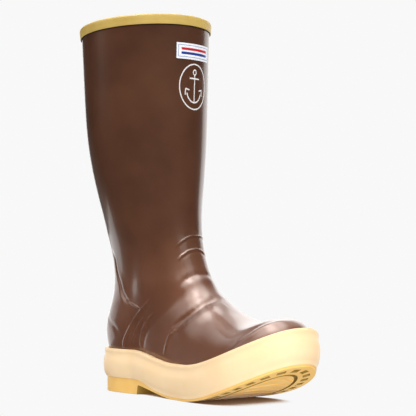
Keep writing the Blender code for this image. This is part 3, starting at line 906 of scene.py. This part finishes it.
def make_gap_shade_line(rings, mat):
    """Thin dark tube where the binding's lower edge meets the upper: painted shade of the gap
    under the binding.
    """
    away = outward(rings[-1])
    rows = []
    for turn in np.linspace(0, 2 * math.pi, 8, endpoint=False):
        points = rings[-1] + away * (0.5 * GAP + GAP_SHADE_RADIUS * math.cos(turn))
        points[:, 2] = rings[-1][:, 2] - BINDING_DEPTH - GAP_SHADE_RADIUS * (1.0 + math.sin(turn))
        rows.append(points)
    make_piece("collar_gap_shade", loft(rows, closed=True), mat)


def sidewall_outer(feather, height, thickness_share):
    """Ring of the sidewall's outer face."""
    points = feather + outward(feather) * SIDEWALL_THICKNESS * thickness_share
    points[:, 2] = sole_line(points[:, 0]) + SIDEWALL_HEIGHT * height
    return points


def make_sidewall(rings, outer, mat):
    """Light rubber cup round the foot, bulging, with a fine lip."""
    feather = rings[0]
    away = outward(feather)
    low = bed(feather[:, 0] + CURVED_GAP * away[:, 0])
    top = sole_line(feather[:, 0]) + SIDEWALL_HEIGHT
    strip = feather[:, 2] + EDGE_RISE - GAP
    heights = [low] + [strip + (top - strip) * share for share in np.linspace(0, 1, 16)]
    rows = []
    for height in heights:
        points = at_height(outer, np.maximum(height, outer[0][:, 2])) + away * CURVED_GAP
        points[:, 2] = height
        rows.append(points)
    for share in np.linspace(1, 0, 36):
        rows.append(sidewall_outer(feather, share, spline(SIDEWALL_FACE, 1, share)))
    clear = (SIDEWALL_THICKNESS * SIDEWALL_FACE[0][1] - OUTSOLE_INSET + GAP) / SIDEWALL_THICKNESS
    for face, drop in [(clear + 0.11, 0.5), (clear + 0.05, 1.0), (clear, 1.0), (clear, 0.0)]:
        points = sidewall_outer(feather, 0.0, face)
        points[:, 2] -= drop * SKIRT_DROP * ease((points[:, 0] - SKIRT_START) / SKIRT_RUN)
        rows.append(points)
    make_piece("sidewall_cup", loft(rows, caps=True), mat, "sidewall")


def make_insole(rings, mat):
    """Loose footbed with a rounded edge."""
    feather = rings[0]
    rows = []
    for inset, share in [(0.0004, 0.0), (0.0, 0.15), (0.0, 0.75), (0.0005, 0.93), (0.0016, 1.0)]:
        points = feather - outward(feather) * (UPPER_WALL + 2 * GAP + inset)
        points[:, 2] = bed(points[:, 0]) + GAP + INSOLE_THICKNESS * share
        rows.append(points)
    make_piece("footbed", loft(rows, caps=True), mat, "insole")


def wrap(points, lift):
    """Points laid on the front of the shaft: arc and height from the label's middle line."""
    angles = points[:, 0] / (COLLAR_WIDTH / 2) - INNER * LABEL_TURN
    skin = cast(angles, lambda x: points[:, 1] + 0 * x)
    away = np.stack([np.cos(angles), np.sin(angles), np.zeros(len(angles))], axis=1)
    return skin + away * lift


def half_across(along, width):
    """Steps to the left of a flat path, half a width long."""
    across = np.stack([-along[:, 1], along[:, 0]], axis=1)
    return across / np.linalg.norm(across, axis=1)[:, None] * width / 2


def add_line(bm, path, width, low, high):
    """Raised line on the shaft along a flat path, which is closed where its ends meet."""
    closed = np.allclose(path[0], path[-1])
    if closed:
        path = path[:-1]
        along = np.roll(path, -1, axis=0) - np.roll(path, 1, axis=0)
    else:
        along = np.gradient(path, axis=0)
    across = half_across(along, width)
    edge = high - PRINT_ROUND
    section = [(1.0, low), (1.0, edge), (0.8, high), (-0.8, high), (-1.0, edge), (-1.0, low)]
    columns = [wrap(path + across * share, lift) for share, lift in section]
    rows = [[bm.verts.new(column[k]) for column in columns] for k in range(len(path))]
    if not closed:
        bm.faces.new(rows[0])
        bm.faces.new(rows[-1][::-1])
    join_rows(bm, rows, closed)
    faced_out(bm)


def level_line(half, height, count=40):
    """Level path, so far to both sides of the label's middle line."""
    return np.linspace((-half, height), (half, height), count)


def arc(height, radius, start, end, count):
    """Path on an arc round a place on the middle line, angles in degrees."""
    angles = np.radians(np.linspace(start, end, count))
    return np.stack([radius * np.cos(angles), height + radius * np.sin(angles)], axis=1)


def make_print(name, mat, lines, width, low, high, replaced=None):
    """Piece of raised lines on the shaft, each a path and its own lift over the others."""
    bm = bmesh.new()
    for path, lift in lines:
        add_line(bm, path, width, low, high + lift)
    make_piece(name, bm, mat, replaced)


def make_label(mats):
    """White patch with a thin border and two plain stripes."""
    face = GAP + LABEL_THICKNESS
    patch = [(level_line(LABEL_WIDTH / 2, LABEL_LEVEL), 0.0)]
    make_print("patch", mats["patch"], patch, LABEL_HEIGHT, GAP / 2, face, "label")
    across = LABEL_WIDTH / 2 - LABEL_INSET
    up = LABEL_HEIGHT / 2 - LABEL_INSET
    border = []
    for side in (-1, 1):
        ends = (side * across, LABEL_LEVEL - up), (side * across, LABEL_LEVEL + up)
        border.append((level_line(across, LABEL_LEVEL + side * up), 0.00008))
        border.append((np.linspace(*ends, 6), 0.00009))
    make_print("patch_border", mats["border"], border, BORDER_WIDTH, face - PRINT_SINK, face)
    for name, side in (("red", 1), ("blue", -1)):
        stripe = level_line(across - STRIPE_END, LABEL_LEVEL + side * STRIPE_SHIFT)
        make_print("patch_" + name, mats[name], [(stripe, 0.0001)], STRIPE_WIDTH,
                   face - PRINT_SINK, face)


def make_emblem(mat):
    """Printed ring with a plain anchor."""
    eye_rise, eye_radius = EYE
    eye = EMBLEM_LEVEL + eye_rise
    stock_rise, stock_half = STOCK
    arms = EMBLEM_LEVEL - ARMS[0]
    lines = [
        # path, lift where it crosses another line
        (arc(EMBLEM_LEVEL, EMBLEM_RADIUS, 0, 360, 97), 0.0),
        (arc(eye, eye_radius, 0, 360, 25), 0.0),
        (np.linspace((0, eye - eye_radius), (0, EMBLEM_LEVEL - SHANK_END), 14), 0.00002),
        (level_line(stock_half, EMBLEM_LEVEL + stock_rise, 10), 0.00003),
        (arc(arms, *ARMS[1:], 34), 0.00003),
    ]
    for side in (-1, 1):
        tip = np.array([side * TIP[0], arms + TIP[1]])
        lines += [(np.linspace(tip, tip + (side * x, z), 6), 0.0) for x, z in BARBS]
    make_print("printed_anchor", mat, lines, EMBLEM_LINE, *EMBLEM_LIFT)


def slab(points, shift):
    """Prism of a flat outline, moved along shift."""
    bm = bmesh.new()
    low = [bm.verts.new(point) for point in points]
    high = [bm.verts.new(np.asarray(point) + shift) for point in points]
    bm.faces.new(low)
    bm.faces.new(high[::-1])
    for k in range(len(low)):
        after = (k + 1) % len(low)
        bm.faces.new([low[k], high[k], high[after], low[after]])
    return faced_out(bm)


def tread_height(x):
    """Height of the outsole's ground face in front of the heel."""
    return np.maximum(sole_line(x) - SOLE_THICKNESS, 0.0)


def side_profile():
    """Outsole and heel from the side, as a slab through the whole width."""
    width = 2 * BALL_WIDTH
    ends = (-2 * SIDEWALL_THICKNESS, LAST_LENGTH + 2 * SIDEWALL_THICKNESS)
    arch = np.linspace(HEEL_SEAT + BREAST_LEAN, FALL_END * LAST_LENGTH, 24)
    toe = np.linspace(SPRING_START * LAST_LENGTH, ends[1], 40)
    ground = [(ends[0], 0.0), (HEEL_SEAT, 0.0)]
    ground += [(x, tread_height(x)) for x in np.r_[arch, toe]]
    along = np.r_[ends[0], FALL_START * LAST_LENGTH, arch[1:], toe]
    roof = [(x, sole_line(x) - GAP) for x in along[::-1]]
    points = [(x, -width / 2, z) for x, z in ground + roof]
    return slab(points, np.array([0.0, width, 0.0]))


def add_band(bm, points, width, depth=TREAD_DEPTH):
    """Cutter along a line in plan, from under the ground face to the tread's depth."""
    points = np.asarray(points, float)
    across = half_across(np.gradient(points, axis=0), width)
    rows = []
    for a, b in zip(points + across, points - across):
        ground = [0.0 if a[0] < HEEL_SEAT else float(tread_height(p[0])) for p in (a, b)]
        roof = [(*a, ground[0] + depth), (*b, ground[1] + depth)]
        section = [(*a, ground[0] - depth), *roof, (*b, ground[1] - depth)]
        rows.append([bm.verts.new(point) for point in section])
    join_rows(bm, rows)
    bm.faces.new(rows[0])
    bm.faces.new(rows[-1][::-1])


def inset_line(edge, inset, start):
    """Stretch of the outsole's outline round the toe, moved inward."""
    fine = np.array([edge[k % len(edge)] for k in range(-len(edge) // 2, len(edge) // 2)])
    fine = fine - outward(fine) * inset
    kept = fine[fine[:, 0] > start]
    return kept[:, :2]


def evenly(points, pitch):
    """Points and directions at one pitch along a line."""
    length = way_along(points)
    count = max(2, int(length[-1] / pitch) + 1)
    marks = np.linspace(0, length[-1], count)
    spots = np.stack([np.interp(marks, length, points[:, k]) for k in range(2)], axis=1)
    return spots, np.gradient(spots, axis=0)


def chevron(x, margin=BAR_MARGIN):
    """Line of one chevron groove across the sole, its point towards the toe."""
    middle, half = outline(np.array([x - BAR_POINT]))
    reach = half[0] - margin + SIDEWALL_THICKNESS
    shares = np.linspace(-1.0, 1.0, 5)
    swing = BAR_POINT * np.abs(shares)
    return np.stack([x - swing, middle[0] + reach * shares], axis=1)


def rim_cutter(edge):
    """Pockets round the toe and the oval groove."""
    bm = bmesh.new()
    rim = inset_line(edge, POCKET_INSET, SPRING_START * LAST_LENGTH)
    for spot, along in zip(*evenly(rim, POCKET_PITCH)):
        step = along / np.linalg.norm(along) * POCKET_LENGTH / 2
        add_band(bm, [spot - step, spot, spot + step], POCKET_WIDTH)
    oval = inset_line(edge, GROOVE_INSET, BAR_START * LAST_LENGTH)
    add_band(bm, evenly(oval, GROOVE_STEP)[0], OVAL_WIDTH)
    return faced_out(bm)


def bar_cutter():
    """Chevron grooves under the ball and fine ones under the heel."""
    bm = bmesh.new()
    start, end = BAR_START * LAST_LENGTH, BAR_END * LAST_LENGTH
    for x in np.arange(start, end, BAR_PITCH):
        add_band(bm, chevron(x), GROOVE_WIDTH)
    for x in np.arange(*HEEL_BARS):
        add_band(bm, chevron(x, HEEL_BAR_MARGIN), FINE_GROOVE_WIDTH, HEEL_TREAD_DEPTH)
    return faced_out(bm)


def make_outsole(rings, mat, shade_mat):
    """Tan outsole moulded in one with its heel block, with its tread."""
    share = SIDEWALL_FACE[0][1] - OUTSOLE_INSET / SIDEWALL_THICKNESS
    edge = sidewall_outer(rings[0], 0.0, share)
    floor = edge.copy()
    floor[:, 2] = -HEEL_HEIGHT
    tall = np.array([0.0, 0.0, 3 * HEEL_HEIGHT + 2 * TOE_SPRING])
    body = add_body("sole_body", slab(floor, tall), mat)
    # The rim cutter hands its darker material to the pockets and the oval groove: painted shade
    # in them
    tools = [
        (add_body("side_cut", side_profile(), mat), "INTERSECT"),
        (add_body("rim_cut", rim_cutter(edge), shade_mat), "DIFFERENCE"),
        (add_body("bar_cut", bar_cutter(), mat), "DIFFERENCE"),
    ]
    for tool, operation in tools:
        cut = body.modifiers.new(tool.name, "BOOLEAN")
        cut.operation = operation
        cut.solver = "EXACT"
        cut.use_self = True
        cut.material_mode = "TRANSFER"
        cut.object = tool
    seen = body.evaluated_get(bpy.context.evaluated_depsgraph_get())
    bm = bmesh.new()
    bm.from_mesh(seen.to_mesh())
    for item in [body] + [tool for tool, operation in tools]:
        bpy.data.objects.remove(item)
    bmesh.ops.remove_doubles(bm, verts=bm.verts, dist=1e-6)
    # Painted shade: the heel's breast, facing the toe under the arch, takes the darker copy
    for face in bm.faces:
        if face.normal.x > 0.9 and face.calc_center_median().x < HEEL_SEAT + BREAST_LEAN:
            face.material_index = 1
    made = make_piece("sole_tread", bm, mat, "outsole")
    made.data.materials.append(shade_mat)


def around(turn, rise, distance):
    """Place at an angle to the right of the camera's line, seen from above the boot."""
    angle = -math.pi / 2 + CAMERA_AZIMUTH + math.radians(turn)
    level = distance * math.cos(math.radians(rise))
    height = distance * math.sin(math.radians(rise))
    return Vector((level * math.cos(angle), level * math.sin(angle), height))


def area_light(name, place, target, size, power):
    """Soft light that looks at a target."""
    lamp = bpy.data.lights.new(name, "AREA")
    lamp.shape = "RECTANGLE"
    lamp.size, lamp.size_y = size
    lamp.energy = power
    item = add_object(name, lamp)
    item.location = place
    item.rotation_euler = (Vector(target) - place).to_track_quat("-Z", "Y").to_euler()
    item.visible_camera = False
    return item


def make_camera():
    """The photograph's view."""
    lens = bpy.data.cameras.new("view")
    lens.lens = CAMERA_LENS
    lens.sensor_width = CAMERA_SENSOR
    lens.clip_start = 0.05
    item = add_object("view", lens)
    item.location = CAMERA_PLACE
    item.rotation_euler = (math.pi / 2 + CAMERA_PITCH, 0, CAMERA_AZIMUTH)
    bpy.context.scene.camera = item


def make_floor():
    """Pale floor that fades into the pale surroundings, with a painted contact shadow under the
    boot.
    """
    mat = bpy.data.materials.new("pale_floor")
    mat.use_nodes = True
    tree = mat.node_tree
    tree.nodes.remove(tree.nodes["Principled BSDF"])
    # Painted shadow: the floor's glow turns to warm browns where the boot occludes it
    near = tree.nodes.new("ShaderNodeAmbientOcclusion")
    fill(near, {"Distance": SHADOW_REACH})
    near.samples = 32
    tint = ramp(near.outputs["AO"], [
        (0.0, colour(70, 46, 30)),
        (0.14, colour(140, 106, 78)),
        (0.23, colour(226, 215, 205)),
        (0.32, (PALE, PALE, PALE, 1.0)),
    ])
    glow = tree.nodes.new("ShaderNodeEmission")
    wire(tint, glow, "Color")
    wire(glow.outputs["Emission"], tree.nodes["Material Output"], "Surface")
    bm = bmesh.new()
    bmesh.ops.create_circle(bm, cap_ends=True, segments=96, radius=FLOOR_RADIUS)
    floor = add_body("floor", bm, mat)
    floor.location = (0, 0, -FLOOR_DROP)
    floor.visible_glossy = False


def glow_from(tree, turn, rise, reach, full, strength):
    """World light from one direction, full within an angle and gone beyond its reach."""
    place = tree.nodes.new("ShaderNodeTexCoord").outputs["Generated"]
    dot = tree.nodes.new("ShaderNodeVectorMath")
    dot.operation = "DOT_PRODUCT"
    wire(place, dot, 0)
    fill(dot, {1: around(turn, rise, 1.0)})
    edges = math.cos(math.radians(reach)), math.cos(math.radians(full))
    return map_range(dot.outputs["Value"], edges, (0.0, strength), smooth=True)


def room_light(tree, column):
    """Sum of the room's soft lights, their strength from a column of SOFT_LIGHTS."""
    total = None
    for light in SOFT_LIGHTS:
        value = glow_from(tree, *light[:4], light[column])
        if total is not None:
            add = tree.nodes.new("ShaderNodeMath")
            wire(total, add, 0)
            wire(value, add, 1)
            value = add.outputs["Value"]
        total = value
    return total


def make_surroundings():
    """Pale world to the camera. As light it is a dim room with soft glows."""
    world = bpy.data.worlds.new("studio")
    world.use_nodes = True
    tree = world.node_tree
    seen = tree.nodes["Background"]
    fill(seen, {"Color": (PALE, PALE, PALE, 1.0)})
    ray = tree.nodes.new("ShaderNodeLightPath")
    glows = [room_light(tree, column) for column in (LIGHT, MIRRORED)]
    strength = mixed("FLOAT", ray.outputs["Is Glossy Ray"], *glows)
    room = tree.nodes.new("ShaderNodeBackground")
    fill(room, {"Color": (1.0, 0.99, 0.98, 1.0)})
    wire(strength, room, "Strength")
    mix = tree.nodes.new("ShaderNodeMixShader")
    wire(ray.outputs["Is Camera Ray"], mix, "Fac")
    wire(room.outputs["Background"], mix, 1)
    wire(seen.outputs["Background"], mix, 2)
    wire(mix.outputs["Shader"], tree.nodes["World Output"], "Surface")
    bpy.context.scene.world = world


def make_lights():
    """Soft key light, a low card before the foot, and one seen only as the heel's sheen."""
    lamps = {}
    for name, place, start, target, size, power in LAMPS:
        lamps[name] = area_light(name, around(*place) + Vector(start), target, size, power)
    lamps["low_card"].visible_glossy = False
    lamps["heel_card"].visible_diffuse = False


def main():
    """Dress the boot."""
    rings = upper_rings()
    outer = dressed(rings)
    make_upper(rings, outer, {"rubber": brown_rubber(), "lining": knit_lining()})
    rings = evened(rings)
    make_binding(rings, yellow_rubber())
    make_gap_shade_line(rings, gap_shade_rubber())
    make_sidewall(rings, evened(outer), cream_rubber())
    make_insole(rings, felt())
    make_outsole(rings, tan_rubber("tan_rubber", 1.0), tan_rubber("tan_painted_shade", 0.66))
    make_label({
        "patch": print_ink("white_patch", colour(236, 238, 244)),
        "border": print_ink("grey_blue_print", colour(120, 140, 175)),
        "red": print_ink("red_print", colour(190, 30, 40)),
        "blue": print_ink("blue_print", colour(35, 60, 140)),
    })
    make_emblem(print_ink("white_print", colour(226, 224, 224)))
    make_camera()
    make_floor()
    make_surroundings()
    make_lights()
    bpy.context.scene.view_settings.view_transform = "Standard"


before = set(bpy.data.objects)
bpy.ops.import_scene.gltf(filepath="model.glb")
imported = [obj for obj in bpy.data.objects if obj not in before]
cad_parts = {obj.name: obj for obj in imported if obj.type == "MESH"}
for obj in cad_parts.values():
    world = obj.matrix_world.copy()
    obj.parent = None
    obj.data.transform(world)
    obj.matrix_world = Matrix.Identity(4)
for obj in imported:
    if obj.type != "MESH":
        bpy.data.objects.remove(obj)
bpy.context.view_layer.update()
main()
